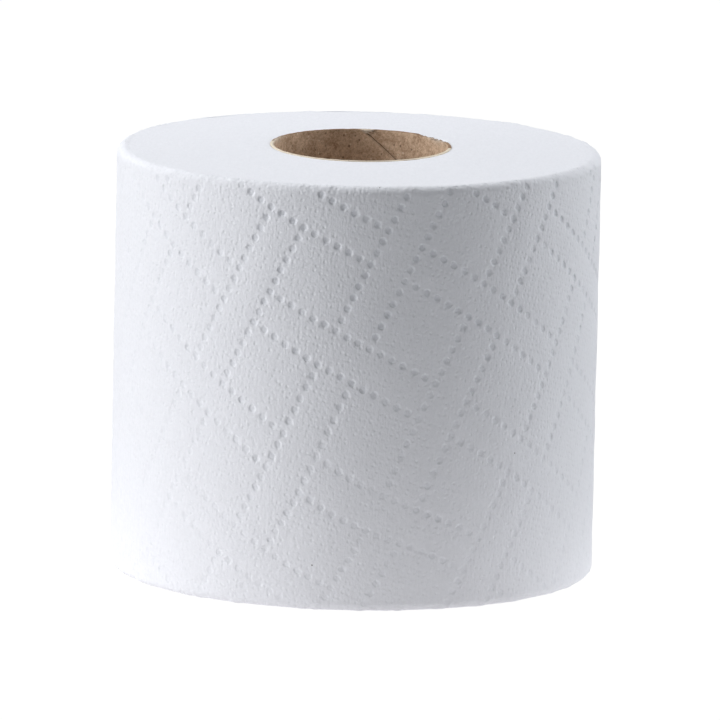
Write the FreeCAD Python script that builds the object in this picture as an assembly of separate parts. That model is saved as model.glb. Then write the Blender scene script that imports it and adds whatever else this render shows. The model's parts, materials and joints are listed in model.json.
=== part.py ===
import FreeCAD, Part
import math
import os

# A toilet paper roll that stands on one end, in millimetres.
# The origin is on the roll's axis at the bottom end, +Z runs up the axis, and the
# front of the roll faces -Y. It has two pieces: the cardboard core and the wound paper.

V = FreeCAD.Vector

# Roll
sheet_width = 100.0        # width of the paper, which is the height of the standing roll
roll_diameter = 114.0
paper_thickness = 0.35     # step at the loose end of the outer turn
rim_radius = 1.8           # soft rounding of both ends of the roll
rim_bevel_count = 2        # straight bevels that make up the rounding

# Core
core_bore = 43.0
core_wall = 0.8
seam_lead = 104.0          # height that the core's spiral seam climbs in one turn
seam_width = 0.6
seam_depth = 0.25
seam_top_azimuth = 87.0    # where the seam meets the top edge, in degrees from +X
nick_depth = 0.9           # torn places in the core's top edge
nick_width = 3.0
nick_azimuths = (24.0, 37.0, 52.0)

# Loose end of the paper, in degrees from +X, at the back of the roll
tail_azimuth = 69.5

# Turn marks, the spiral line that the turns leave on each end of the roll
turn_mark_pitch = 12.0
turn_mark_depth = 0.3
turn_mark_width = 0.9
turn_mark_margin = 3.0     # plain paper beside the core and beside the rim

# Embossed pattern: raised ribbons that pass over and under each other like a basket weave.
# Dotted lines edge them on the real paper. A ribbon is ribbon_dots dots wide, and the ribbons
# repeat every weave_dots dots, in both directions.
dot_pitch = 2.95
ribbon_dots = 3
weave_dots = 9
ribbon_angle = 26.565      # slope of the flatter ribbons, in degrees
ribbon_height = 0.4
ribbon_gap = 0.6           # between a ribbon's end and the ribbon that it passes under
ribbon_rim_gap = 0.8       # between a ribbon and the rim or the loose end
emboss_azimuth = -66.68    # inner corner where two ribbons' edges cross, which places the pattern
emboss_height = 42.4

# Reach of a cutting tool beyond the surface that it cuts
overshoot = 0.5

roll_radius = roll_diameter / 2
ground_radius = roll_radius - ribbon_height
core_length = sheet_width  # paper and core are cut to length together
core_radius = core_bore / 2
seat_radius = core_radius + core_wall
outer_turn_radius = roll_radius - paper_thickness / 2
sheet_turn = 2 * math.pi * outer_turn_radius


def direction(azimuth):
    """Unit vector away from the axis at an azimuth in degrees."""
    angle = math.radians(azimuth)
    return V(math.cos(angle), math.sin(angle), 0)


def half_turn(face, centre):
    """Half a turn of a face about an upright line, away from the side of the loose end."""
    return face.revolve(centre, V(0, 0, 1), 180)


def half_section(centre, radius, azimuth, low, high, rim):
    """Half section of a roll with bevelled rims, from the centre line outwards."""
    out = direction(azimuth)
    steps = range(rim_bevel_count + 1) if rim else [rim_bevel_count]
    angles = [math.pi / 2 * step / rim_bevel_count for step in steps]
    lower = [(0, 0)] + [(radius - rim * (1 - math.sin(a)), rim * (1 - math.cos(a))) for a in angles]
    outline = [(distance, low + height) for distance, height in lower]
    outline += [(distance, high - height) for distance, height in reversed(lower)]
    points = [centre + out * distance + V(0, 0, height) for distance, height in outline]
    return Part.Face(Part.makePolygon(points + points[:1]))


def wound_body(radius, low, high, rim):
    """A roll as a spiral of two half turns, with a step at the loose end."""
    shift = direction(tail_azimuth) * (paper_thickness / 4)
    inner = half_section(
        shift * -1, radius - 0.75 * paper_thickness, tail_azimuth + 180, low, high, rim)
    outer = half_section(shift, radius - 0.25 * paper_thickness, tail_azimuth, low, high, rim)
    return half_turn(inner, shift * -1).fuse(half_turn(outer, shift))


def turn_mark_tools(height, outward):
    """Half rings with a V section that cut one spiral line into an end of the roll."""
    half_width = turn_mark_width / 2 * (turn_mark_depth + overshoot) / turn_mark_depth
    radius = seat_radius + turn_mark_margin + turn_mark_pitch / 4
    limit = ground_radius - rim_radius - turn_mark_margin - turn_mark_pitch / 4
    tools = []
    side = 1
    while radius <= limit:
        azimuth = tail_azimuth + (0 if side > 0 else 180)
        out = direction(azimuth)
        centre = direction(tail_azimuth) * (side * turn_mark_pitch / 4)
        base = centre + out * radius + V(0, 0, height)
        top = base + V(0, 0, outward * overshoot)
        section = Part.makePolygon([
            base - V(0, 0, outward * turn_mark_depth), top + out * half_width,
            top - out * half_width, base - V(0, 0, outward * turn_mark_depth)])
        tools.append(half_turn(Part.Face(section), centre))
        radius += turn_mark_pitch / 2
        side = -side
    return tools


def sheet_point(i, j):
    """Place of a dot of the pattern on the sheet: arc from +X along the outer turn, and height."""
    cosine, sine = math.cos(math.radians(ribbon_angle)), math.sin(math.radians(ribbon_angle))
    i, j = i - ribbon_dots, j - ribbon_dots
    arc = math.radians(emboss_azimuth) * outer_turn_radius + dot_pitch * (i * cosine - j * sine)
    height = emboss_height - dot_pitch * (i * sine + j * cosine)
    return arc, height


def clipped(points, low, high):
    """The part of a flat polygon that lies in the rectangle from low to high."""
    for axis, limit, sign in ((0, low[0], 1), (0, high[0], -1), (1, low[1], 1), (1, high[1], -1)):
        kept = []
        for here, there in zip(points, points[1:] + points[:1]):
            inside, next_inside = sign * (here[axis] - limit), sign * (there[axis] - limit)
            if inside >= 0:
                kept.append(here)
            if inside * next_inside < 0:
                share = inside / (inside - next_inside)
                kept.append(tuple(a + (b - a) * share for a, b in zip(here, there)))
        points = kept
    return points


def ribbon_prism(points):
    """Upright-walled block over a flat polygon of the sheet, which reaches into the roll."""
    middle = sum(arc for arc, height in points) / len(points)
    azimuth = math.degrees(middle / outer_turn_radius)
    out, side = direction(azimuth), direction(azimuth + 90)
    turns = [(arc - middle) / outer_turn_radius for arc, height in points]
    top = roll_radius + overshoot
    corners = [out * top + side * (outer_turn_radius * math.sin(turn)) + V(0, 0, height)
               for turn, (arc, height) in zip(turns, points)]
    bottom = ground_radius * min(math.cos(turn) for turn in turns) - paper_thickness - overshoot
    return Part.Face(Part.makePolygon(corners + corners[:1])).extrude(out * (bottom - top))


def ribbons():
    """All raised ribbons of the outer turn, each ending where it passes under another."""
    tail_arc = math.radians(tail_azimuth) * outer_turn_radius
    low = (tail_arc - sheet_turn + ribbon_rim_gap, rim_radius + ribbon_rim_gap)
    high = (tail_arc - ribbon_rim_gap, sheet_width - rim_radius - ribbon_rim_gap)
    gap = ribbon_gap / dot_pitch
    length = 2 * weave_dots - ribbon_dots - 2 * gap
    reach = math.ceil((sheet_turn + sheet_width) / (dot_pitch * weave_dots))
    prisms = []
    for band in range(-reach, reach + 1):
        for crossing in range(-reach, reach + 1):
            if (band + crossing) % 2:
                continue
            side = band * weave_dots
            flat = crossing * weave_dots + ribbon_dots + gap
            steep = flat + weave_dots
            outlines = (
                [(flat, side), (flat + length, side),
                 (flat + length, side + ribbon_dots), (flat, side + ribbon_dots)],
                [(side, steep), (side, steep + length),
                 (side + ribbon_dots, steep + length), (side + ribbon_dots, steep)])
            for outline in outlines:
                points = clipped([sheet_point(i, j) for i, j in outline], low, high)
                if len(points) > 2:
                    prisms.append(ribbon_prism(points))
    print("ribbons", len(prisms))
    return wound_body(roll_radius, low[1], high[1], 0).common(prisms)


def make_paper_roll():
    seat = Part.makeCylinder(seat_radius, sheet_width + 2 * overshoot, V(0, 0, -overshoot))
    marks = turn_mark_tools(0, -1) + turn_mark_tools(sheet_width, 1)
    body = wound_body(ground_radius, 0, sheet_width, rim_radius).cut([seat] + marks)
    return body.fuse(ribbons())


def seam_tool():
    """Cutter for the spiral seam on the inside of the core."""
    helix = Part.makeHelix(seam_lead, core_length + 2 * overshoot, core_radius)
    rise_angle = math.atan2(seam_lead, 2 * math.pi * core_radius)
    along = V(0, math.cos(rise_angle), math.sin(rise_angle))
    across = V(1, 0, 0).cross(along)
    wall = V(core_radius, 0, 0)
    half_width = seam_width / 2 * (seam_depth + overshoot) / seam_depth
    inside = wall - V(overshoot, 0, 0)
    section = Part.makePolygon([
        wall + V(seam_depth, 0, 0), inside + across * half_width,
        inside - across * half_width, wall + V(seam_depth, 0, 0)])
    tool = Part.Wire(helix).makePipeShell([section], True, True)
    turn = seam_top_azimuth - 360 * (core_length + overshoot) / seam_lead
    tool.rotate(V(0, 0, 0), V(0, 0, 1), turn)
    tool.translate(V(0, 0, -overshoot))
    return tool


def make_core():
    outside = Part.makeCylinder(seat_radius, core_length)
    inside = Part.makeCylinder(core_radius, core_length + 2 * overshoot, V(0, 0, -overshoot))
    tools = [inside, seam_tool()]
    for azimuth in nick_azimuths:
        out = direction(azimuth)
        side = direction(azimuth + 90)
        inner = out * (core_radius - overshoot)
        wide = nick_width / 2 * (nick_depth + overshoot) / nick_depth
        low = inner + V(0, 0, core_length - nick_depth)
        top = inner + V(0, 0, core_length + overshoot)
        notch = Part.Face(Part.makePolygon([low, top + side * wide, top - side * wide, low]))
        tools.append(notch.extrude(out * (core_wall + 2 * overshoot)))
    return outside.cut(tools)


def main():
    os.makedirs("parts", exist_ok=True)
    nodes = {"core": make_core(), "paper_roll": make_paper_roll()}
    for name, shape in nodes.items():
        solid = shape.Solids[0]
        print(name, "solids", len(shape.Solids), "valid", shape.isValid(),
              "volume cm3", round(solid.Volume / 1000, 2), "faces", len(solid.Faces))
        solid.exportStep("parts/" + name + ".step")


main()
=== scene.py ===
# %% [markdown]
# # A toilet paper roll, dressed around its CAD frame
#
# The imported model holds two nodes: the cardboard core and the wound paper. This lesson
# loads them first, because every new piece takes its size and place from them.

# %% Load the frame
import json
import math
import random

import bmesh
import bpy
from mathutils import Matrix, Vector, noise


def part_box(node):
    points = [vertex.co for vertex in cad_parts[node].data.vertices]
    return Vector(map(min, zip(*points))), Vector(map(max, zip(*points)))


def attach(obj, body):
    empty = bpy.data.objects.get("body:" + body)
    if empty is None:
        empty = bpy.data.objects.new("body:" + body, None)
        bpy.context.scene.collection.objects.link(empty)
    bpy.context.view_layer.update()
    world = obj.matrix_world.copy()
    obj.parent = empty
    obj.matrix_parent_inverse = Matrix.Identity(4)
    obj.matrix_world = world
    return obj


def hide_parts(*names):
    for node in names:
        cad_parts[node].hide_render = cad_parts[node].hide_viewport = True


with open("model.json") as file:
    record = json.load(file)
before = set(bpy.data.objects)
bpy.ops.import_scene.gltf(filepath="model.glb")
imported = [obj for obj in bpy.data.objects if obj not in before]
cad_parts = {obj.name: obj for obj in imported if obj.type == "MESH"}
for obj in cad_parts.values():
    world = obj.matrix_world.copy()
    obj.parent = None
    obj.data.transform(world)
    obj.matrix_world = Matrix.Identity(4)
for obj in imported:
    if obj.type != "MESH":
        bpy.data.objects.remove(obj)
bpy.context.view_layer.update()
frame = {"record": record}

MM = 0.001
random.seed(11)

# %% [markdown]
# ## Sizes
#
# The roll stands on its end, its axis is Z and its front faces -Y. Radii and heights are
# read from the frame, so that a new CAD size carries through. Only what the frame can't
# tell, such as the emboss, is written here as a real size.

# %% Sizes from the frame
core_low, core_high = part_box("core")
roll_low, roll_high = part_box("paper_roll")
bore = next(m for m in frame["record"]["mounts"] if m["name"] == "core_bore")

roll_height = roll_high.z
roll_radius = max(roll_high.x, roll_high.y)
core_radius = bore["dims"]["r_mm"] * MM
seat_radius = (core_high.x - core_low.x) / 2

# %% Sizes of the paper
turn_thickness = 0.35 * MM
rim_radius = 1.8 * MM
tail_angle = math.radians(159.5)     # loose end, from the front towards +X
sheets_per_turn = 3

mean_radius = roll_radius - turn_thickness / 2
turn_length = 2 * math.pi * mean_radius
tail_place = tail_angle * mean_radius
print("roll", round(roll_height / MM, 1), "mm high,", round(2 * roll_radius / MM, 1), "mm across")

# %% [markdown]
# ## Helpers
#
# A bmesh is a mesh that code can edit. Each piece below is made in one, turned into an
# object by `new_piece`, hung on the root body, and the CAD node that it replaces is hidden.


# %% Make a piece
def new_piece(name, bm, material, node, smooth=True):
    """Turns a bmesh into a piece on the root body, and hides the CAD node that it replaces."""
    mesh = bpy.data.meshes.new(name)
    for face in bm.faces:
        face.smooth = smooth
    bm.to_mesh(mesh)
    bm.free()
    piece = bpy.data.objects.new(name, mesh)
    bpy.context.scene.collection.objects.link(piece)
    mesh.materials.append(material)
    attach(piece, "root")
    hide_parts(node)
    print(name, "has", len(mesh.polygons), "faces before its modifiers")
    return piece


# %% Soft unevenness
def waviness(place, size, amount):
    """A smooth wave from -amount to amount that changes over about `size`."""
    return noise.noise(Vector(place) / size) * amount


# %% [markdown]
# ## A used roll isn't a perfect cylinder
#
# Handling squeezes the core a little flat, and the inner turns slide up by less than a
# millimetre, so the top end is slightly domed. `settle` moves a point by these small
# amounts. All pieces share it, so they stay together.

# %% Small deformations of the real roll
core_narrow = 0.045                  # share by which the core is narrower from side to side
core_deepen = 0.02                   # and deeper from front to back
core_shift = Vector((0.4 * MM, 0.0, 0.0))
dome_height = 0.75 * MM
dome_tilt = 0.2 * MM                 # how much more the dome rises behind the core


def settle(place):
    """Moves a point of the round roll to where it lies in the slightly deformed one."""
    radius = max(math.hypot(place.x, place.y), 1e-6)
    near_core = min(1.0, max(0.0, (roll_radius - radius) / (roll_radius - seat_radius)))
    near_core = near_core * near_core * (3 - 2 * near_core)
    near_top = min(1.0, max(0.0, 2 * place.z / roll_height - 1))
    lift = (dome_height + dome_tilt * place.y / radius) * near_core * near_top
    return Vector((place.x * (1 - core_narrow * near_core) + core_shift.x * near_core,
                   place.y * (1 + core_deepen * near_core) + core_shift.y * near_core,
                   max(0.0, place.z + lift)))


# %% [markdown]
# ## Node helpers
#
# A shader node tree is a list of nodes and links. `node` adds one node with its settings
# and plain inputs, and `link` joins an output to an input, so a material reads like a recipe.


# %% Add nodes and links
def node(tree, kind, inputs=None, **settings):
    """Adds a node. `inputs` maps an input's name or number to a plain value."""
    made = tree.nodes.new(kind)
    for name, value in settings.items():
        setattr(made, name, value)
    for name, value in (inputs or {}).items():
        made.inputs[name].default_value = value
    return made


def link(tree, output, target):
    tree.links.new(output, target)


def math_node(tree, operation, first, second=None, third=None):
    """A Math node whose inputs are outputs of other nodes or plain numbers."""
    made = node(tree, "ShaderNodeMath", operation=operation)
    for place, value in enumerate((first, second, third)):
        if value is None:
            continue
        if isinstance(value, (int, float)):
            made.inputs[place].default_value = value
        else:
            link(tree, value, made.inputs[place])
    return made.outputs[0]


def clamped(tree, value):
    """The value kept between 0 and 1."""
    made = node(tree, "ShaderNodeClamp")
    link(tree, value, made.inputs["Value"])
    return made.outputs["Result"]


# %% Mix colours
def mixed(tree, first, second, amount):
    """Two plain colours mixed by an amount from 0 to 1."""
    made = node(tree, "ShaderNodeMix", {6: first, 7: second}, data_type="RGBA")
    link(tree, amount, made.inputs["Factor"])
    return made.outputs[2]


def mixed_over(tree, below, colour, amount):
    """The colour that `below` puts out, with a plain colour mixed over it."""
    made = node(tree, "ShaderNodeMix", {7: colour}, data_type="RGBA")
    link(tree, below, made.inputs[6])
    link(tree, amount, made.inputs["Factor"])
    return made.outputs[2]


# %% Start a material
def new_material(name):
    """An empty material with its output and Principled BSDF joined."""
    material = bpy.data.materials.new(name)
    material.use_nodes = True
    tree = material.node_tree
    tree.nodes.clear()
    shader = node(tree, "ShaderNodeBsdfPrincipled")
    output = node(tree, "ShaderNodeOutputMaterial")
    link(tree, shader.outputs["BSDF"], output.inputs["Surface"])
    return material, tree, shader


def place_in_millimetres(tree):
    """The place on the object, in millimetres, for textures."""
    coordinates = node(tree, "ShaderNodeTexCoord")
    millimetres = node(tree, "ShaderNodeMapping", {"Scale": (1000.0, 1000.0, 1000.0)})
    link(tree, coordinates.outputs["Object"], millimetres.inputs["Vector"])
    return millimetres.outputs["Vector"]


# %% Start a node group
def new_group(name, inputs, outputs):
    """A node group with named sockets. Returns the group and its two end nodes."""
    group = bpy.data.node_groups.new(name, "ShaderNodeTree")
    for title, kind in inputs:
        group.interface.new_socket(title, in_out="INPUT", socket_type=kind)
    for title, kind in outputs:
        group.interface.new_socket(title, in_out="OUTPUT", socket_type=kind)
    return group, group.nodes.new("NodeGroupInput"), group.nodes.new("NodeGroupOutput")


# %% [markdown]
# ## The grain of tissue
#
# Tissue is creped: a blade scrapes the wet sheet off a drum, and it gathers in fine
# wrinkles. On this roll they run up and down, about half a millimetre apart, broken by
# small soft lumps. A fine lattice of pin marks from the embossing drum lies over them. One
# node group makes that relief from a place on the flat sheet given in millimetres, and a
# tone that has a little shade painted into the pin marks. The wall and the ends of the roll
# both use it.


# %% Tissue grain group
def tissue_grain_group():
    group, start, end = new_group(
        "tissue_grain",
        [("Place", "NodeSocketVector"), ("Crepe", "NodeSocketFloat"), ("Lumps", "NodeSocketFloat"),
         ("Pins", "NodeSocketFloat")],
        [("Height", "NodeSocketFloat"), ("Tone", "NodeSocketFloat")])
    place = start.outputs["Place"]

    stretch = node(group, "ShaderNodeMapping", {"Scale": (1.0, 0.16, 1.0)})
    link(group, place, stretch.inputs["Vector"])
    crepe = node(group, "ShaderNodeTexNoise", {"Scale": 1.9, "Detail": 3.0, "Roughness": 0.55})
    link(group, stretch.outputs["Vector"], crepe.inputs["Vector"])

    lumps = node(group, "ShaderNodeTexNoise", {"Scale": 1.0, "Detail": 2.5, "Roughness": 0.6})
    link(group, place, lumps.inputs["Vector"])

    turned = node(group, "ShaderNodeMapping", {"Rotation": (0.0, 0.0, math.radians(18))})
    link(group, place, turned.inputs["Vector"])
    pins = node(group, "ShaderNodeTexVoronoi",
                {"Scale": 0.75, "Randomness": 0.35}, feature="F1", distance="EUCLIDEAN")
    link(group, turned.outputs["Vector"], pins.inputs["Vector"])
    pin_mark = node(group, "ShaderNodeMapRange",
                    {"From Min": 0.0, "From Max": 0.42, "To Min": -1.0, "To Max": 0.0},
                    interpolation_type="SMOOTHSTEP")
    link(group, pins.outputs["Distance"], pin_mark.inputs["Value"])

    height = math_node(group, "MULTIPLY", crepe.outputs[0], start.outputs["Crepe"])
    height = math_node(group, "MULTIPLY_ADD", lumps.outputs[0], start.outputs["Lumps"], height)
    height = math_node(group, "MULTIPLY_ADD", pin_mark.outputs["Result"], start.outputs["Pins"], height)
    link(group, height, end.inputs["Height"])
    tone = math_node(group, "ADD", crepe.outputs[0], lumps.outputs[0])
    tone = math_node(group, "MULTIPLY", tone, 0.5)
    # Shade is painted into the pin marks: the tone drops a little in each of them.
    pin_shade = math_node(group, "MULTIPLY", pin_mark.outputs["Result"], start.outputs["Pins"])
    link(group, math_node(group, "MULTIPLY_ADD", pin_shade, 0.1, tone), end.inputs["Tone"])
    return group


tissue_grain = tissue_grain_group()
print("tissue grain has", len(tissue_grain.nodes), "nodes")

# %% [markdown]
# ## Specks
#
# Recycled fibre leaves a few dark specks in paper and many in board. The group below puts
# round specks in some of the cells of a Voronoi texture: each cell has a random colour, and
# only the cells whose random value is high enough get a speck.


# %% Speck group
def speck_group():
    group, start, end = new_group(
        "specks",
        [("Place", "NodeSocketVector"), ("Scale", "NodeSocketFloat"), ("Share", "NodeSocketFloat"),
         ("Size", "NodeSocketFloat")],
        [("Mask", "NodeSocketFloat")])
    cells = node(group, "ShaderNodeTexVoronoi", feature="F1")
    link(group, start.outputs["Place"], cells.inputs["Vector"])
    link(group, start.outputs["Scale"], cells.inputs["Scale"])
    near = math_node(group, "LESS_THAN", cells.outputs["Distance"], start.outputs["Size"])
    parts = node(group, "ShaderNodeSeparateColor")
    link(group, cells.outputs["Color"], parts.inputs["Color"])
    chosen = math_node(group, "LESS_THAN", parts.outputs["Red"], start.outputs["Share"])
    link(group, math_node(group, "MULTIPLY", near, chosen), end.inputs["Mask"])
    return group


specks = speck_group()
print("specks have", len(specks.nodes), "nodes")


# %% Place a group in a material
def use_group(tree, group, place, **values):
    made = node(tree, "ShaderNodeGroup", node_tree=group)
    link(tree, place, made.inputs["Place"])
    for name, value in values.items():
        made.inputs[name].default_value = value
    return made


# %% [markdown]
# ## Tissue on the wall of the roll
#
# The outer sheets carry a UV map that holds the place on the flat sheet, in decimetres, so
# the grain follows the paper round the roll and over the rim. Tissue has no gloss: its
# roughness is high, and a faint sheen stands for its loose fibres.
#
# Each pit gets painted shade, strongest at the middle of the deepest pits. The mesh says
# where, in an attribute, because a texture can't know each pit's place.

# %% Colours of the tissue
tissue_white = (0.885, 0.90, 0.95, 1.0)
tissue_shade = (0.83, 0.845, 0.895, 1.0)
# The colour of the shade painted into the pits.
tissue_pit_shade = (0.78, 0.80, 0.85, 1.0)
speck_brown = (0.10, 0.09, 0.09, 1.0)


def tissue_shader_settings(shader):
    shader.inputs["Roughness"].default_value = 0.95
    shader.inputs["Specular IOR Level"].default_value = 0.12
    shader.inputs["Sheen Weight"].default_value = 0.08
    shader.inputs["Sheen Roughness"].default_value = 0.6


def tissue_colour(tree, shader, tone, speck_mask):
    """Base colour: the whites mixed by the grain's tone, then specks, then painted shade in pits."""
    ramp = node(tree, "ShaderNodeMapRange", {"From Min": 0.3, "From Max": 0.65})
    link(tree, tone, ramp.inputs["Value"])
    whites = mixed(tree, tissue_shade, tissue_white, ramp.outputs["Result"])
    specked = mixed_over(tree, whites, speck_brown, speck_mask)
    # Painted shade in the pits, from the mesh's attribute.
    pit_shade = node(tree, "ShaderNodeAttribute", attribute_name="pit_shade")
    pit_shade_share = math_node(tree, "MULTIPLY", pit_shade.outputs["Fac"], 0.8)
    link(tree, mixed_over(tree, specked, tissue_pit_shade, pit_shade_share), shader.inputs["Base Color"])


def tissue_bump(tree, shader, height, depth):
    bump = node(tree, "ShaderNodeBump", {"Strength": 1.0, "Distance": depth})
    link(tree, height, bump.inputs["Height"])
    link(tree, bump.outputs["Normal"], shader.inputs["Normal"])


# %% Material of the outer sheets
def make_sheet_material():
    material, tree, shader = new_material("embossed_tissue")
    tissue_shader_settings(shader)
    flat = node(tree, "ShaderNodeUVMap", uv_map="flat_sheet")
    millimetres = node(tree, "ShaderNodeMapping", {"Scale": (100.0, 100.0, 100.0)})
    link(tree, flat.outputs["UV"], millimetres.inputs["Vector"])
    place = millimetres.outputs["Vector"]
    grain = use_group(tree, tissue_grain, place, Crepe=0.9, Lumps=1.25, Pins=0.8)
    dots = use_group(tree, specks, place, Scale=0.22, Share=0.12, Size=0.035)
    tissue_colour(tree, shader, grain.outputs["Tone"], dots.outputs["Mask"])
    # The grain is flatter low on the roll, as the pits are.
    parts = node(tree, "ShaderNodeSeparateXYZ")
    link(tree, place, parts.inputs["Vector"])
    upward = node(tree, "ShaderNodeMapRange",
                  {"From Min": -40.0, "From Max": 40.0, "To Min": 0.75, "To Max": 1.04})
    link(tree, parts.outputs["Y"], upward.inputs["Value"])
    relief = math_node(tree, "MULTIPLY", grain.outputs["Height"], upward.outputs["Result"])
    tissue_bump(tree, shader, relief, 0.118 * MM)
    return material


sheet_material = make_sheet_material()


# %% Material of the ends
def make_turns_material():
    material, tree, shader = new_material("cut_tissue")
    tissue_shader_settings(shader)
    place = place_in_millimetres(tree)
    grain = use_group(tree, tissue_grain, place, Crepe=0.0, Lumps=0.8, Pins=0.0)
    dots = use_group(tree, specks, place, Scale=0.16, Share=0.06, Size=0.03)
    tissue_colour(tree, shader, grain.outputs["Tone"], dots.outputs["Mask"])
    tissue_bump(tree, shader, grain.outputs["Height"], 0.06 * MM)
    return material


turns_material = make_turns_material()
print("tissue materials:", sheet_material.name, "and", turns_material.name)

# %% [markdown]
# ## The outer sheets
#
# The emboss is a lattice of round pits 2.95 mm apart, turned by 26.6 degrees. Rows of pits
# run in pairs, and the pairs pass over and under each other like a basket weave.
#
# A texture could fake the pits, but they shape the outline of the light on the roll, so
# they are real geometry here. Each sheet starts as a flat grid that is aligned with the
# lattice, with two cells for each step. The four faces around each pit are inset three
# times, and the new rings are made round and pushed in. Then the grid is laid on the pulled
# sheet, cut to size, wrapped on the roll, and smoothed by a Subdivision Surface.

# %% Sizes of the emboss
dot_pitch = 2.95 * MM
pair_steps = 3
weave_steps = 9
weave_angle = math.radians(26.565)
pit_depth = 0.31 * MM
pit_rings = ((1.08 * MM, 0.0), (0.92 * MM, 0.35), (0.7 * MM, 1.0))     # radius, share of the depth
# Over this width the painted shade in a pit's middle fades out towards its rim.
pit_shade_fade = 0.38 * MM             # width over which the darker middle of a pit fades out
pit_reach = 0.45                     # steps from a pit's middle that its rings stay within
pit_wander = 0.02                    # how far pits stray from the lattice, in steps
anchor_place = Vector((23.2 * MM, 42.4 * MM - roll_height / 2))
along_flat = Vector((math.cos(weave_angle), -math.sin(weave_angle)))
along_steep = Vector((-math.sin(weave_angle), -math.cos(weave_angle)))
pillow_height = 0.1 * MM

# %% Strength of the pits
foot_force, force_rise = 0.3, 0.85            # force at the foot, and how much the top adds
flatter_left, flatter_right = 0.75, 0.25      # share that the force loses at each side
force_wave, force_wave_size = 0.2, 16 * MM    # slow change from place to place
force_range = (0.75, 1.15)                    # each pit's own share


# %% Which lattice points have a pit
def has_pit(i, j):
    """True where a pit is: on a row of a pair, unless another pair passes over it there."""
    on_steep = i % weave_steps in (0, pair_steps)
    on_flat = j % weave_steps in (0, pair_steps)
    if not (on_steep or on_flat):
        return False
    steep_over = (i // weave_steps + j // weave_steps) % 2 == 0
    between_steep = 0 < i % weave_steps < pair_steps
    between_flat = 0 < j % weave_steps < pair_steps
    if on_flat and between_steep and steep_over:
        return False
    if on_steep and between_flat and not steep_over:
        return False
    return True


# %% Puffiness between the rows of pits
def arch(x, low, high):
    """0 at both ends of a span and 1 at its middle."""
    return math.sin(math.pi * (x - low) / (high - low))


def pillow(i, j):
    """How much the paper puffs out at a lattice place, from 0 to 1."""
    a, b = i % weave_steps, j % weave_steps
    steep_over = (i // weave_steps + j // weave_steps) % 2 == 0
    in_steep, in_flat = a < pair_steps, b < pair_steps
    if in_steep and (steep_over or not in_flat):
        return 0.8 * arch(a, 0, pair_steps)
    if in_flat:
        return 0.8 * arch(b, 0, pair_steps)
    return math.sqrt(arch(a, pair_steps, weave_steps) * arch(b, pair_steps, weave_steps))


# %% [markdown]
# The lattice and the flat sheet are two ways to name one place. On the sheet, x runs
# along the paper from the front centre of the roll towards +X, and y runs up from half
# height, past the rims and over their rounding. Winding pulls the soft paper, so the rows
# lean more at both sides of the front, and they sag a little below its middle.

# %% How winding pulled the pattern
side_lean = 10.5 * MM                # most that the pattern moves, at the sides of the roll
sag_depth = 3.6 * MM
sag_place = Vector((-2 * MM, -24 * MM))
sag_size = Vector((18 * MM, 13 * MM))


def pulled(place):
    """Where a place of the even pattern lies on the pulled sheet."""
    lean = side_lean * math.sin(place.x / mean_radius) ** 3
    away = ((place.x - sag_place.x) / sag_size.x) ** 2 + ((place.y - sag_place.y) / sag_size.y) ** 2
    return Vector((place.x, place.y - lean - sag_depth * math.exp(-away / 2)))


# %% Between the lattice and the sheet
def on_sheet(i, j):
    """Place on the pulled sheet of a place of the lattice."""
    steps = along_flat * (i - pair_steps) + along_steep * (j - pair_steps)
    return pulled(anchor_place + steps * dot_pitch)


def on_lattice(point):
    """Place of the lattice for a place on the even sheet."""
    offset = (Vector(point[:2]) - anchor_place) / dot_pitch
    return offset.dot(along_flat) + pair_steps, offset.dot(along_steep) + pair_steps


# %% Extent of a sheet
sheet_length = turn_length / sheets_per_turn
wall_half = roll_height / 2 - rim_radius
rim_turn = math.radians(115)      # past the top, so that the edge dips between the turns
sheet_half = wall_half + rim_radius * rim_turn


# %% Wrap a place of the sheet on the roll
def on_roll(x, y, out):
    """Point of the roll for a place on the sheet, `out` away from the paper's middle."""
    radius = roll_radius - turn_thickness * (tail_place - x) / turn_length
    bend = max(0.0, abs(y) - wall_half) / rim_radius
    side = math.copysign(1.0, y)
    if bend:
        reach = radius - rim_radius + (rim_radius + out) * math.cos(bend)
        height = side * (wall_half + (rim_radius + out) * math.sin(bend))
    else:
        reach = radius + out
        height = y
    angle = x / mean_radius
    return Vector((reach * math.sin(angle), -reach * math.cos(angle), roll_height / 2 + height))


# %% Flat grid of one sheet
def lattice_grid(start, end):
    """A grid over the sheet from start to end, two cells for each step of the lattice."""
    corners = [on_lattice((x, y)) for x in (start, end) for y in (-sheet_half, sheet_half)]
    reach = 2 + math.ceil((side_lean + sag_depth) / dot_pitch)
    low_i, low_j = (math.floor(min(c[k] for c in corners)) - reach for k in (0, 1))
    high_i, high_j = (math.ceil(max(c[k] for c in corners)) + reach for k in (0, 1))
    count = max(high_i - low_i, high_j - low_j)
    bm = bmesh.new()
    bm.verts.layers.float.new("pit_shade")
    bmesh.ops.create_grid(bm, x_segments=2 * count, y_segments=2 * count, size=count / 2)
    bmesh.ops.translate(bm, vec=(low_i + count / 2, low_j + count / 2, 0), verts=bm.verts)
    for vert in bm.verts:
        vert.co.x, vert.co.y = round(vert.co.x * 2) / 2, round(vert.co.y * 2) / 2
    spare = [face for face in bm.faces if not near_sheet(face.calc_center_median(), start, end)]
    bmesh.ops.delete(bm, geom=spare, context="FACES")
    return bm


def near_sheet(place, start, end):
    """True if a lattice place is on the sheet or within two steps of it."""
    x, y = on_sheet(place.x, place.y)
    margin = 2 * dot_pitch
    return start - margin < x < end + margin and abs(y) < sheet_half + margin


# %% [markdown]
# The operator that insets a region treats faces that touch as one region. Neighbouring
# pits touch, so the first inset is made in four rounds, each for every second pit in both
# directions. After it a ring of faces lies between all pits, and one call insets them all.


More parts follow.
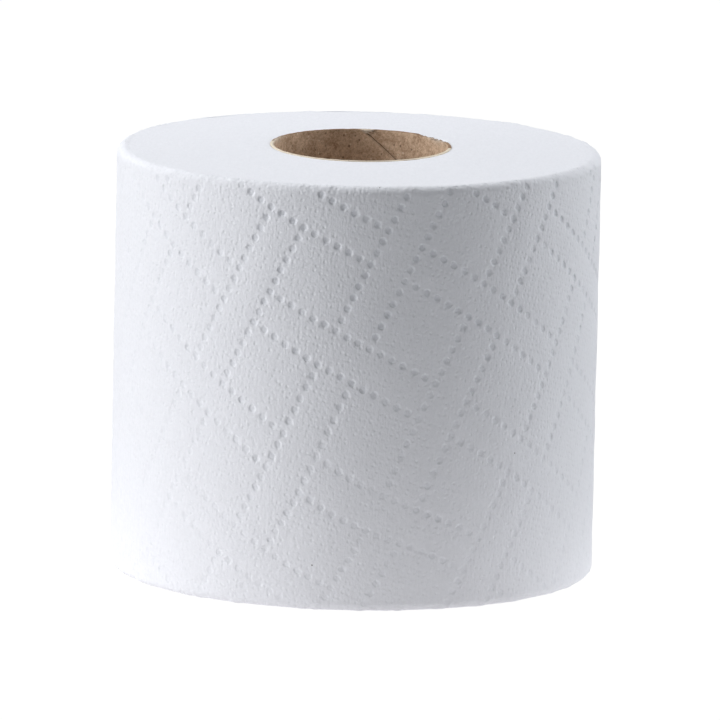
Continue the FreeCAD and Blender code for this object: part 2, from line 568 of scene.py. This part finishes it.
# %% Each pit's own depth and place
def pit_nature(i, j):
    """Depth and sideways shift of a pit.

    Pits are flatter low down, at the sides, most at the left one, and over a rim."""
    dice = random.Random(1000 * i + j)
    place = on_sheet(i, j)
    past_wall = max(0.0, abs(place.y) - wall_half) / rim_radius
    height_share = place.y / roll_height + 0.5
    side = math.sin(place.x / mean_radius)
    flatter = flatter_left if side < 0 else flatter_right
    force = (foot_force + force_rise * height_share) * (1 - flatter * side * side)
    force += waviness((place.x, place.y, 7 * MM), force_wave_size, force_wave)
    depth = pit_depth * dice.uniform(*force_range) * force * max(0.0, 1 - past_wall)
    shift = Vector((dice.gauss(0, 1), dice.gauss(0, 1), 0)) * pit_wander
    return depth, shift


# %% Round pits
def dent_pits(bm):
    """Insets and dents the four faces around each lattice point that has a pit, and paints shade in it.
    """
    pit_shade = bm.verts.layers.float["pit_shade"]
    pits = {}
    for vert in bm.verts:
        i, j = vert.co.x, vert.co.y
        if i.is_integer() and j.is_integer() and len(vert.link_faces) == 4 and has_pit(int(i), int(j)):
            pits[vert] = list(vert.link_faces)
    natures = {vert: pit_nature(round(vert.co.x), round(vert.co.y)) for vert in pits}
    for number, (radius, share) in enumerate(pit_rings):
        if number == 0:
            rounds = [[v for v in pits if (v.co.x % 2, v.co.y % 2) == half]
                      for half in ((0, 0), (0, 1), (1, 0), (1, 1))]
        else:
            rounds = [list(pits)]
        for chosen in rounds:
            faces = [face for vert in chosen for face in pits[vert]]
            bmesh.ops.inset_region(bm, faces=faces, thickness=0.1, depth=0.0,
                                   use_boundary=True, use_even_offset=True)
        for vert, faces in pits.items():
            for corner in {c for face in faces for c in face.verts if c is not vert}:
                outward = (corner.co - vert.co)
                outward.z = 0
                corner.co = vert.co + outward.normalized() * (radius / dot_pitch)
                corner.co.z = -natures[vert][0] * share
    for vert, faces in pits.items():
        depth, shift = natures[vert]
        vert.co.z = -depth
        rings = {c for face in faces for c in face.verts}
        grown = rings | {c for r in rings for e in r.link_edges for c in e.verts
                         if (c.co.xy - vert.co.xy).length < pit_reach}
        # Painted shade for each pit, full at a deep pit's middle and fading towards its rim, goes into
        # the attribute.
        for corner in grown:
            distance = (corner.co.xy - vert.co.xy).length * dot_pitch
            inside = min(1.0, max(0.0, (pit_rings[0][0] - distance) / pit_shade_fade))
            corner[pit_shade] = min(1.0, depth / pit_depth) * inside
        for corner in grown:
            corner.co += shift
    return len(pits)


# %% Cut the grid to the sheet
def cut_to_sheet(bm, start, end):
    for place, normal in (((start, 0, 0), (-1, 0, 0)), ((end, 0, 0), (1, 0, 0)),
                          ((0, -sheet_half, 0), (0, -1, 0)), ((0, sheet_half, 0), (0, 1, 0))):
        bmesh.ops.bisect_plane(bm, geom=bm.verts[:] + bm.edges[:] + bm.faces[:], dist=0.01 * MM,
                               plane_co=place, plane_no=normal, clear_outer=True)
    for height in (-wall_half, wall_half):
        bmesh.ops.bisect_plane(bm, geom=bm.verts[:] + bm.edges[:] + bm.faces[:], dist=0.01 * MM,
                               plane_co=(0, height, 0), plane_no=(0, 1, 0))
    bmesh.ops.remove_doubles(bm, verts=bm.verts, dist=0.04 * MM)
    bmesh.ops.dissolve_degenerate(bm, edges=bm.edges, dist=0.01 * MM)


# %% Turn a place of the lattice into a place of the sheet
def lay_flat(bm):
    for vert in bm.verts:
        puff = pillow_height * pillow(vert.co.x, vert.co.y)
        x, y = on_sheet(vert.co.x, vert.co.y)
        vert.co = (x, y, vert.co.z + puff)


# %% Keep the flat place as a UV map
def store_flat_place(bm):
    layer = bm.loops.layers.uv.new("flat_sheet")
    for face in bm.faces:
        for loop in face.loops:
            loop[layer].uv = loop.vert.co.xy * 10


# %% [markdown]
# The loose end needs a thickness. Its edges are extruded and pushed in towards the roll,
# and a full crease keeps the fold sharp when the surface is subdivided.


# %% A loose end with the paper's thickness
def thicken_loose_end(bm):
    crease = bm.edges.layers.float.new("crease_edge")
    border = [edge for edge in bm.edges if edge.is_boundary
              and all(vert.co.x > tail_place - 0.02 * MM for vert in edge.verts)]
    made = bmesh.ops.extrude_edge_only(bm, edges=border)["geom"]
    for edge in border:
        edge[crease] = 1.0
    for item in made:
        if isinstance(item, bmesh.types.BMVert):
            item.co.z -= turn_thickness * 0.9


# %% Sizes of the sheets' unevenness
perforation_dent = 0.03 * MM
perforation_width = 0.5 * MM
sheet_waves = ((0.0, 14 * MM, 0.12 * MM), (3.0, 5 * MM, 0.05 * MM))    # layer, size, height


# %% Unevenness of a sheet
def sheet_unevenness(x, y, start, end):
    """How far the sheet stands out at a place, with a dent along both perforations."""
    out = 0.0
    edge_distance = min(x - start, end - x)
    if edge_distance < perforation_width:
        out -= perforation_dent * (1 - edge_distance / perforation_width)
    for layer, size, height in sheet_waves:
        out += waviness((x, y, layer), size, height)
    return out


# %% Make the three sheets
def make_sheet(number):
    end = tail_place - number * sheet_length
    start = end - sheet_length
    bm = lattice_grid(start, end)
    pits = dent_pits(bm)
    lay_flat(bm)
    cut_to_sheet(bm, start, end)
    store_flat_place(bm)
    thicken_loose_end(bm)
    for vert in bm.verts:
        x, y, out = vert.co
        vert.co = settle(on_roll(x, y, out + sheet_unevenness(x, y, start, end)))
    bmesh.ops.recalc_face_normals(bm, faces=bm.faces)
    piece = new_piece(f"outer_sheet_{number + 1}", bm, sheet_material, "paper_roll")
    smoothing = piece.modifiers.new("smooth", "SUBSURF")
    smoothing.levels = 1
    smoothing.render_levels = 1
    smoothing.boundary_smooth = "PRESERVE_CORNERS"
    print("pits", pits)
    return piece


sheets = [make_sheet(number) for number in range(sheets_per_turn)]
print("outer sheets", len(sheets))

# %% [markdown]
# ## The turns
#
# Under the outer sheet lie almost a hundred more turns, and both ends of the roll show
# their cut edges. They are one body: a section with a tiny zigzag for each turn is spun
# round the axis. The spin also climbs one metre with each step, which marks every vertex
# with its step. That number then places the vertex: its height comes back down, and each
# turn moves out by its share of a turn's thickness, so the rings join into one spiral.

# %% Sizes of the turns
turn_room = roll_radius - 2 * turn_thickness - seat_radius
turn_count = round(turn_room / turn_thickness)
turn_pitch = turn_room / turn_count
turn_steps = 192
edge_relief = 0.045 * MM             # how far each turn's edge stands up between its neighbours
end_setback = 0.3 * turn_thickness   # the turns' edges lie this much inside the sheet's width
core_gap_depth, core_gap_width = 0.1 * MM, 1.3 * MM      # the first turns lie lower than the core
edge_jitter, edge_wave, wave_size = 0.012 * MM, 0.05 * MM, 9 * MM
climb = 1.0                          # metres that the spin climbs with each step


# %% Section of the turns
def end_profile():
    """(radius, height above the middle) of the top end's zigzag, from the core outwards."""
    outer = seat_radius + turn_pitch * turn_count
    points = []
    for k in range(2 * turn_count + 1):
        radius = seat_radius + turn_pitch * k / 2
        from_edge = max(0.0, rim_radius - (outer - radius))
        drop = rim_radius - math.sqrt(max(0.0, rim_radius ** 2 - from_edge ** 2))
        relief = edge_relief if k % 2 else 0.0
        near_core = max(0.0, 1 - (radius - seat_radius) / core_gap_width)
        drop += core_gap_depth * near_core ** 1.5
        points.append((radius, roll_height / 2 - end_setback - drop + relief))
    return points


def turns_section():
    """The whole section: the inner wall's middle and top, the top end, and the bottom end."""
    top = end_profile()
    section = [(seat_radius, 0.0), (seat_radius, top[0][1])] + top
    section += [(radius, -height) for radius, height in reversed(top)]
    return section + [(seat_radius, -top[0][1])]


# %% Spin the section
def spun_turns():
    """The section spun round the axis. Two layers say which turn a vertex is on."""
    section = turns_section()
    bm = bmesh.new()
    bm.verts.layers.int.new("is_wall")
    bm.verts.layers.int.new("turn_number")
    is_wall, turn_number = bm.verts.layers.int["is_wall"], bm.verts.layers.int["turn_number"]
    verts = [bm.verts.new((radius, 0.0, height)) for radius, height in section]
    edges = [bm.edges.new(pair) for pair in zip(verts, verts[1:] + verts[:1])]
    walls = {0, 1, len(section) - 1}
    for index, vert in enumerate(verts):
        vert[is_wall] = index in walls
        vert[turn_number] = round((section[index][0] - seat_radius) / turn_pitch * 2)
    bmesh.ops.spin(bm, geom=verts + edges, cent=(0, 0, 0), axis=(0, 0, 1), dvec=(0, 0, climb),
                   angle=2 * math.pi, steps=turn_steps, use_merge=False)
    return bm, is_wall, turn_number


# %% Wind the rings into a spiral
def make_turns():
    bm, is_wall, turn_number = spun_turns()
    heights = [random.uniform(-1, 1) for k in range(2 * turn_count + 1)]
    for vert in bm.verts:
        step = round(vert.co.z / climb)
        part = step / turn_steps
        z = vert.co.z - step * climb
        radius = math.hypot(vert.co.x, vert.co.y)
        angle = tail_angle + 2 * math.pi * part
        x, y = math.sin(angle), -math.cos(angle)
        if not vert[is_wall]:
            radius += turn_pitch * part
            uneven = heights[vert[turn_number]] * edge_jitter if part < 1 else 0.0
            z += uneven + waviness((x * radius, y * radius, z), wave_size, edge_wave)
        vert.co = settle(Vector((x * radius, y * radius, roll_height / 2 + z)))
    bmesh.ops.remove_doubles(bm, verts=bm.verts, dist=0.03 * MM)
    border = [edge for edge in bm.edges if edge.is_boundary]
    if border:
        bmesh.ops.holes_fill(bm, edges=border, sides=0)
    bmesh.ops.recalc_face_normals(bm, faces=bm.faces)
    return new_piece("wound_turns", bm, turns_material, "paper_roll")


turns = make_turns()
print(turns.name, "shows", turn_count, "turns")

# %% [markdown]
# ## Cardboard
#
# Core board is pressed from waste paper: brown, matt and mottled, with short pale and dark
# fibres. A clean cut is paler, because it opens fresh fibre. At the back the cut edge gets a
# dark brown instead, which is painted shade where the paper meets the core. Two attributes
# of the mesh, "torn" and "seam_shadow", say where the board is frayed and where shade is
# painted along the seam and round a lifted corner.

# %% Colours of the board
board_brown = (0.37, 0.245, 0.16, 1.0)
board_pale = (0.74, 0.56, 0.41, 1.0)
board_fleck = (0.13, 0.09, 0.06, 1.0)
board_fibre = (0.86, 0.76, 0.63, 1.0)
edge_cream = (0.82, 0.74, 0.60, 1.0)
# Dark brown for the back of the cut edge: painted shade where the paper meets the core.
edge_shade_brown = (0.26, 0.17, 0.11, 1.0)
torn_fibre = (0.80, 0.71, 0.60, 1.0)
# The dark brown of the shade painted along the seam and round the lifted corner.
seam_shade_brown = (0.09, 0.05, 0.03, 1.0)


# %% Mottled browns
def mottled(tree, place, fibres, dark, pale):
    """The board's two browns, mixed by soft clouds and by the fibres."""
    clouds = node(tree, "ShaderNodeTexNoise", {"Scale": 0.4, "Detail": 3.0, "Roughness": 0.6})
    link(tree, place, clouds.inputs["Vector"])
    blend = math_node(tree, "MULTIPLY_ADD", fibres, 1.6, clouds.outputs[0])
    tone = node(tree, "ShaderNodeMapRange", {"From Min": 1.0, "From Max": 1.6})
    link(tree, blend, tone.inputs["Value"])
    return mixed(tree, dark, pale, tone.outputs["Result"])


# %% Pale and dark bits
def with_bits(tree, place, colour):
    """The board's colour with short pale fibres and dark flecks over it."""
    moved = node(tree, "ShaderNodeMapping", {"Location": (31.0, 17.0, 5.0)})
    link(tree, place, moved.inputs["Vector"])
    pale_bits = use_group(tree, specks, moved.outputs["Vector"], Scale=0.8, Share=0.22, Size=0.17)
    amount = math_node(tree, "MULTIPLY", pale_bits.outputs["Mask"], 0.6)
    colour = mixed_over(tree, colour, board_fibre, amount)
    flecks = use_group(tree, specks, place, Scale=0.75, Share=0.35, Size=0.18)
    amount = math_node(tree, "MULTIPLY", flecks.outputs["Mask"], 0.7)
    return mixed_over(tree, colour, board_fleck, amount)


# %% Frayed and shaded places
def with_wear_and_seam_shade(tree, fibres, colour):
    """The board's colour with pale fuzz where it is torn, and painted shade along the seam."""
    torn = node(tree, "ShaderNodeAttribute", attribute_name="torn").outputs["Fac"]
    fuzz = math_node(tree, "MULTIPLY_ADD", fibres, 2.4, -1.15)
    fuzz = math_node(tree, "MULTIPLY_ADD", torn, 1.5, fuzz)
    fuzz = clamped(tree, math_node(tree, "MULTIPLY", fuzz, torn))
    colour = mixed_over(tree, colour, torn_fibre, fuzz)
    # Painted shade along the seam and round the lifted corner, from the mesh's attribute.
    groove = node(tree, "ShaderNodeAttribute", attribute_name="seam_shadow")
    return mixed_over(tree, colour, seam_shade_brown, groove.outputs["Fac"])


# %% Materials of the core
def make_board_material(name, dark, pale):
    material, tree, shader = new_material(name)
    shader.inputs["Roughness"].default_value = 0.9
    shader.inputs["Specular IOR Level"].default_value = 0.2
    place = place_in_millimetres(tree)
    noise_settings = {"Scale": 1.5, "Detail": 3.0, "Roughness": 0.8, "Distortion": 0.8}
    texture = node(tree, "ShaderNodeTexNoise", noise_settings)
    link(tree, place, texture.inputs["Vector"])
    fibres = texture.outputs[0]
    colour = with_bits(tree, place, mottled(tree, place, fibres, dark, pale))
    link(tree, with_wear_and_seam_shade(tree, fibres, colour), shader.inputs["Base Color"])
    bump = node(tree, "ShaderNodeBump", {"Strength": 0.8, "Distance": 0.12 * MM})
    link(tree, fibres, bump.inputs["Height"])
    link(tree, bump.outputs["Normal"], shader.inputs["Normal"])
    return material


board_material = make_board_material("core_board", board_brown, board_pale)
board_edge_material = make_board_material("core_cut_edge", edge_cream, edge_cream)
# This material paints shade on the back of the cut edge.
board_edge_shade_material = make_board_material("core_edge_shade", edge_shade_brown, board_brown)
print("board materials:", board_material.name, board_edge_material.name, board_edge_shade_material.name)

# %% [markdown]
# ## The core
#
# A core is wound from strips of board on a slant, and the edges of the inner strip meet in
# a spiral seam. A rectangle is spun into the tube, and each level is then turned a little
# against the one below, so that the columns of faces lean as the strip does. One column
# becomes the seam: its neighbours are drawn close, and it is pushed into the wall. At the
# top edge a corner of the strip has lifted above the seam, and one side is torn.

# %% Sizes of the core
core_steps = 240
core_levels = 40
fine_drops = (8.0, 6.0, 4.5, 3.5, 2.7, 2.1, 1.6, 1.2, 0.8, 0.4)    # mm below the top, finer levels
coarse_top = roll_height - 10 * MM
top_bevel = 0.12 * MM
edge_wave_size, edge_wave_depth = 2.2 * MM, 0.12 * MM

# %% Sizes of the seam and the wear
seam_lead = 104 * MM
seam_top_angle = math.radians(89 + 90)     # from the front towards +X
seam_half_width = 0.16 * MM
seam_depth = 0.3 * MM
flap_width, flap_depth = 1.8 * MM, 1.25 * MM    # lifted corner of the strip, above the seam
flap_offset, flap_lift = 1.3 * MM, 0.55 * MM    # its middle beside the seam, and how far it lifts
flap_outline = 0.3                              # width of the shade round it, in shares of its size
frayed_edges = ((-126, -76), (100, 140))        # degrees from the front, worn parts of the edge
clean_cut = (-98, 84)                           # degrees from the front, where the cut is pale
tear_start, tear_end = math.radians(106), math.radians(140)
tear_depth, tear_grain = 0.7 * MM, 0.6 * MM


# %% Section of the core
def core_section():
    """(radius, height) all round the wall of the tube, upwards on the inside."""
    levels = [coarse_top * k / core_levels for k in range(core_levels + 1)]
    levels += [roll_height - drop * MM for drop in fine_drops]
    section = [(core_radius, z) for z in levels] + [(core_radius, roll_height - top_bevel)]
    section += [(core_radius + top_bevel, roll_height), (seat_radius - top_bevel, roll_height)]
    return section + [(seat_radius, roll_height - top_bevel), (seat_radius, 0.0)]


# %% Wear of the core's edge
def frayed(turned, from_top):
    """How frayed the board is, from 0 to 0.7, by angle and distance below the top in mm."""
    most = 0.0
    for low, high in frayed_edges:
        share = (math.degrees(turned) % 360 - low % 360) % 360 / (high - low)
        if 0 < share < 1:
            middle = math.sin(math.pi * share)
            most = max(most, 0.7 * middle * (1 - from_top / (0.5 + 1.6 * middle)))
    return most


def inside_flap(angle, from_top):
    """1 at the middle of the lifted corner's top, 0 on its outline, and less outside it."""
    beside = abs((seam_top_angle - angle) * core_radius - flap_offset)
    return 1 - beside / flap_width - from_top * MM / flap_depth


def torn_away(turned, place):
    """How much of the top edge is gone in the torn stretch."""
    if not tear_start < turned < tear_end:
        return 0.0
    share = math.sin(math.pi * (turned - tear_start) / (tear_end - tear_start))
    ragged = 0.45 + 0.55 * noise.noise(Vector(place) / tear_grain)
    return tear_depth * share ** 0.5 * max(0.0, ragged)


# %% Spin the tube
def spun_tube():
    section = core_section()
    bm = bmesh.new()
    verts = [bm.verts.new((0.0, -radius, z)) for radius, z in section]
    edges = [bm.edges.new(pair) for pair in zip(verts, verts[1:] + verts[:1])]
    bmesh.ops.spin(bm, geom=verts + edges, cent=(0, 0, 0), axis=(0, 0, 1), dvec=(0, 0, 0),
                   angle=2 * math.pi, steps=core_steps, use_merge=True)
    bm.verts.layers.float.new("seam_shadow")
    bm.verts.layers.float.new("torn")
    return bm, bm.verts.layers.float["seam_shadow"], bm.verts.layers.float["torn"]


# %% Lean, seam and tear
def shape_tube(bm, shadow, torn):
    cell = 2 * math.pi / core_steps
    for vert in bm.verts:
        z = vert.co.z
        radius = math.hypot(vert.co.x, vert.co.y)
        angle = math.atan2(vert.co.x, -vert.co.y)
        column = round(angle / cell)
        inner = radius < core_radius + 2 * top_bevel
        # The seam's column and its neighbours carry painted shade.
        if column == 0 and inner:
            radius += seam_depth
            vert[shadow] = 0.85
        if abs(column) == 1 and inner:
            angle = math.copysign(seam_half_width / core_radius, column)
            vert[shadow] = 0.2
        angle += seam_top_angle + 2 * math.pi * (z - roll_height) / seam_lead
        turned = (angle + math.pi) % (2 * math.pi) - math.pi
        from_top = (roll_height - z) / MM
        if inner:
            vert[torn] = frayed(turned, from_top)
            lift = inside_flap(angle, from_top)
            if lift > 0:
                radius -= flap_lift * lift
                vert[torn] = max(vert[torn], min(1.0, 5 * lift))
                vert[shadow] = 0.0
            elif lift > -flap_outline:
                # A band of painted shadow round the lifted corner.
                vert[shadow] = max(vert[shadow], 0.55)
        if z > roll_height - 2 * top_bevel:
            place = (math.sin(angle) * radius, math.cos(angle) * radius, 0.0)
            z -= abs(waviness(place, edge_wave_size, edge_wave_depth)) + torn_away(turned, place)
        vert.co = (math.sin(angle) * radius, -math.cos(angle) * radius, z)


# %% Pale parts of the cut edge, and painted shade on the rest
def mark_cut_edge(bm):
    margin = 0.02 * MM
    for face in bm.faces:
        centre = face.calc_center_median()
        in_wall = core_radius + margin < math.hypot(centre.x, centre.y) < seat_radius - margin
        if in_wall and centre.z > roll_height / 2:
            turned = math.degrees(math.atan2(centre.x, -centre.y))
            # The back part of the edge gets the dark material: painted shade where the paper meets the
            # core.
            face.material_index = 1 if clean_cut[0] < turned < clean_cut[1] else 2


# %% Make the core
def make_core():
    bm, shadow, torn = spun_tube()
    shape_tube(bm, shadow, torn)
    bmesh.ops.recalc_face_normals(bm, faces=bm.faces)
    mark_cut_edge(bm)
    for vert in bm.verts:
        vert.co = settle(vert.co)
    piece = new_piece("core_tube", bm, board_material, "core")
    piece.data.materials.append(board_edge_material)
    piece.data.materials.append(board_edge_shade_material)
    return piece


core = make_core()
print(core.name, "has", len(core.data.materials), "materials")

# %% [markdown]
# ## Floor, light and camera
#
# The photograph has a pure white ground. The floor shows white to the camera, and in gloss
# and glass, by emission that only those rays see, so it doesn't light the roll. A small
# diffuse share is left, which takes the roll's shadow. The world is white to the camera
# alone and gives no light: all of it comes from the lamps.


# %% Floor
def make_floor():
    bm = bmesh.new()
    bmesh.ops.create_grid(bm, x_segments=1, y_segments=1, size=4.0)
    mesh = bpy.data.meshes.new("floor")
    bm.to_mesh(mesh)
    bm.free()
    floor = bpy.data.objects.new("floor", mesh)
    bpy.context.scene.collection.objects.link(floor)
    material = bpy.data.materials.new("white_floor")
    material.use_nodes = True
    tree = material.node_tree
    tree.nodes.clear()
    light_path = node(tree, "ShaderNodeLightPath")
    matt = node(tree, "ShaderNodeBsdfDiffuse", {"Color": (0.5, 0.5, 0.5, 1)})
    glow = node(tree, "ShaderNodeEmission", {"Color": (1, 1, 1, 1), "Strength": 1.08})
    seen = node(tree, "ShaderNodeMixShader")
    seen_ray = light_path.outputs["Is Camera Ray"]
    for ray in ("Is Glossy Ray", "Is Transmission Ray"):
        seen_ray = math_node(tree, "ADD", seen_ray, light_path.outputs[ray])
    glow_share = math_node(tree, "MULTIPLY", clamped(tree, seen_ray), 0.92)
    link(tree, glow_share, seen.inputs["Fac"])
    link(tree, matt.outputs[0], seen.inputs[1])
    link(tree, glow.outputs[0], seen.inputs[2])
    output = node(tree, "ShaderNodeOutputMaterial")
    link(tree, seen.outputs[0], output.inputs["Surface"])
    mesh.materials.append(material)
    return floor


floor = make_floor()
print("floor has", len(floor.data.polygons), "face")


# %% World
def make_world():
    world = bpy.data.worlds.new("studio")
    bpy.context.scene.world = world
    world.use_nodes = True
    tree = world.node_tree
    tree.nodes.clear()
    light_path = node(tree, "ShaderNodeLightPath")
    dark = node(tree, "ShaderNodeBackground", {"Color": (1, 1, 1, 1), "Strength": 0.0})
    white = node(tree, "ShaderNodeBackground", {"Color": (1, 1, 1, 1), "Strength": 1.0})
    seen = node(tree, "ShaderNodeMixShader")
    link(tree, light_path.outputs["Is Camera Ray"], seen.inputs["Fac"])
    link(tree, dark.outputs[0], seen.inputs[1])
    link(tree, white.outputs[0], seen.inputs[2])
    output = node(tree, "ShaderNodeOutputWorld")
    link(tree, seen.outputs[0], output.inputs["Surface"])
    return world


world = make_world()
print("world", world.name)

# %% [markdown]
# The light is soft and comes mostly from the left, as from a window. A lamp high at the
# front fills the dark side, two at the right give its paler edge, and one above and behind
# lights the top end. The wall gets paler towards its foot, because a white table throws
# light back, so a wide weak lamp lies on the floor under the roll and shines up. It is an
# ellipse that the camera doesn't see.


# %% Soft lamps
def area_lamp(name, place, target, size, power, colour):
    data = bpy.data.lights.new(name, "AREA")
    data.shape = "SQUARE"
    data.size = size
    data.energy = power
    data.color = colour
    lamp = bpy.data.objects.new(name, data)
    lamp.location = place
    lamp.rotation_mode = "QUATERNION"
    lamp.rotation_quaternion = (Vector(target) - Vector(place)).to_track_quat("-Z", "Y")
    bpy.context.scene.collection.objects.link(lamp)
    return lamp


def around(degrees, height, distance=0.9):
    """A place round the roll, in degrees from the front towards +X."""
    angle = math.radians(degrees)
    return math.sin(angle) * distance, -math.cos(angle) * distance, height


# %% Lamps round the roll
roll_middle = Vector((0, 0, roll_height / 2))
neutral, cool = (1.0, 1.0, 1.0), (0.975, 0.99, 1.0)
pale_blue, warm = (0.98, 0.985, 1.0), (1.0, 0.965, 0.96)
lamps = (
    ("left_window", around(-75, 0.3), 0.4, 3.3, neutral),
    ("left_side", around(-90, 0.3), 0.4, 0.45, neutral),
    ("left_high", around(-90, 0.7), 0.4, 4.5, neutral),
    ("right_side", around(90, 0.3), 0.4, 1.25, cool),
    ("right_behind", around(114, 0.3), 0.4, 3.8, cool),
    ("top_behind", (0, 0.38, 0.9), 0.6, 4.35, pale_blue),
    ("front_fill", around(0, 0.65), 0.4, 1.72, cool))
for name, place, size, power, colour in lamps:
    area_lamp(name, place, roll_middle, size, power, colour)

# %% Light from the table
glow_place = Vector((-0.01, -0.036, 0.0001))
glow_length, glow_width = 0.185, 0.215
table_glow = area_lamp("table_glow", glow_place, glow_place + Vector((0, 0, 1)), glow_length, 0.05, warm)
table_glow.data.shape = "ELLIPSE"
table_glow.data.size_y = glow_width
table_glow.visible_camera = False
print("lamps", len(lamps) + 1)

# %% [markdown]
# The camera was found by matching the rims and side edges of the roll in the photograph.
# It stands far away with a long lens, looks down by 10.9 degrees and is rolled by 1.2
# degrees. Its aim is shifted so that the roll's base lands where the photograph has it.

# %% Camera
image_size = 720
look_down = 0.19059
camera_roll = 0.020853
camera_distance = 55.85 * 57 * MM
pixels_per_metre = 4232.7
base_pixel = (350.34, 565.71)


def make_camera():
    data = bpy.data.cameras.new("camera")
    camera = bpy.data.objects.new("camera", data)
    bpy.context.scene.collection.objects.link(camera)
    focal_pixels = pixels_per_metre * camera_distance
    data.sensor_width = 36.0
    data.lens = focal_pixels * data.sensor_width / image_size
    back = Vector((0, -math.cos(look_down), math.sin(look_down)))
    right = Vector((1, 0, 0))
    up = back.cross(right)
    # In the picture the object leans clockwise, so the camera leans the other way.
    turn = Matrix.Rotation(camera_roll, 3, back)
    right, up = turn @ right, turn @ up
    centre = image_size / 2
    offset = (right * (centre - base_pixel[0]) + up * (base_pixel[1] - centre)) / pixels_per_metre
    # The camera turns about its own place, so that the lens stays centred.
    place = back * camera_distance
    aim = offset - place
    camera.rotation_mode = "QUATERNION"
    forward = aim.normalized()
    side = (right - forward * right.dot(forward)).normalized()
    top = side.cross(forward)
    camera.rotation_quaternion = Matrix((side, top, -forward)).transposed().to_quaternion()
    camera.location = place
    data.clip_start = 0.1
    data.clip_end = 20.0
    bpy.context.scene.camera = camera
    return camera


camera = make_camera()
bpy.context.scene.view_settings.view_transform = "Standard"
print("camera lens", round(camera.data.lens, 1), "mm, at", [round(c, 3) for c in camera.location])

# %% [markdown]
# ## Finish
#
# The view layer is updated once more, at the end.

# %% Finish
bpy.context.view_layer.update()
